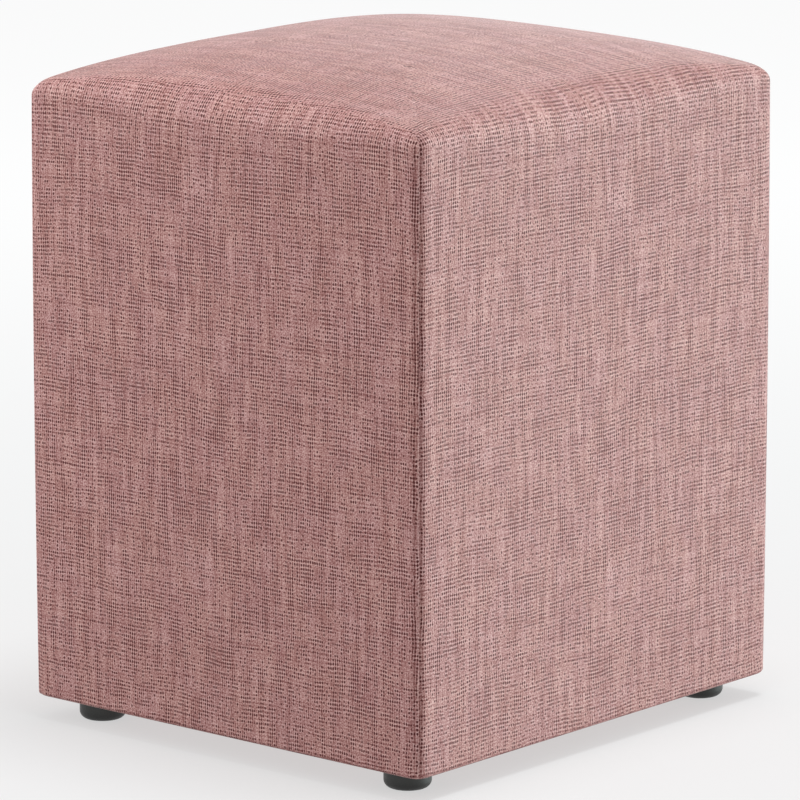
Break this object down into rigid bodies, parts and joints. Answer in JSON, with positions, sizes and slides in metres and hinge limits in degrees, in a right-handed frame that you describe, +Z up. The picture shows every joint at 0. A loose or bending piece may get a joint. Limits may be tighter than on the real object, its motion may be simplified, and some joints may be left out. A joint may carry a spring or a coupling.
{
  "type": "cube pouf stool",
  "caption": "Upright cube pouf with a softly crowned seat, rolled top edges, sewn corner seams and low round glides.",
  "frame": {"origin": "on the floor under the middle of the stool, where the glides' soles rest", "axes": "+X along the width, towards the right glides; +Y along the depth, towards the back glides; +Z up"},
  "size_m": [0.383, 0.353, 0.475],
  "materials": {
    "linen_look_cloth": "matt plain weave in dusty rose with dark gaps and slubs",
    "glide_plastic": "satin moulded black"
  },
  "bodies": {
    "root": {"upholstered_block": "linen_look_cloth", "glide_front_left": "glide_plastic", "glide_front_right": "glide_plastic", "glide_back_left": "glide_plastic", "glide_back_right": "glide_plastic"}
  },
  "joints": []
}
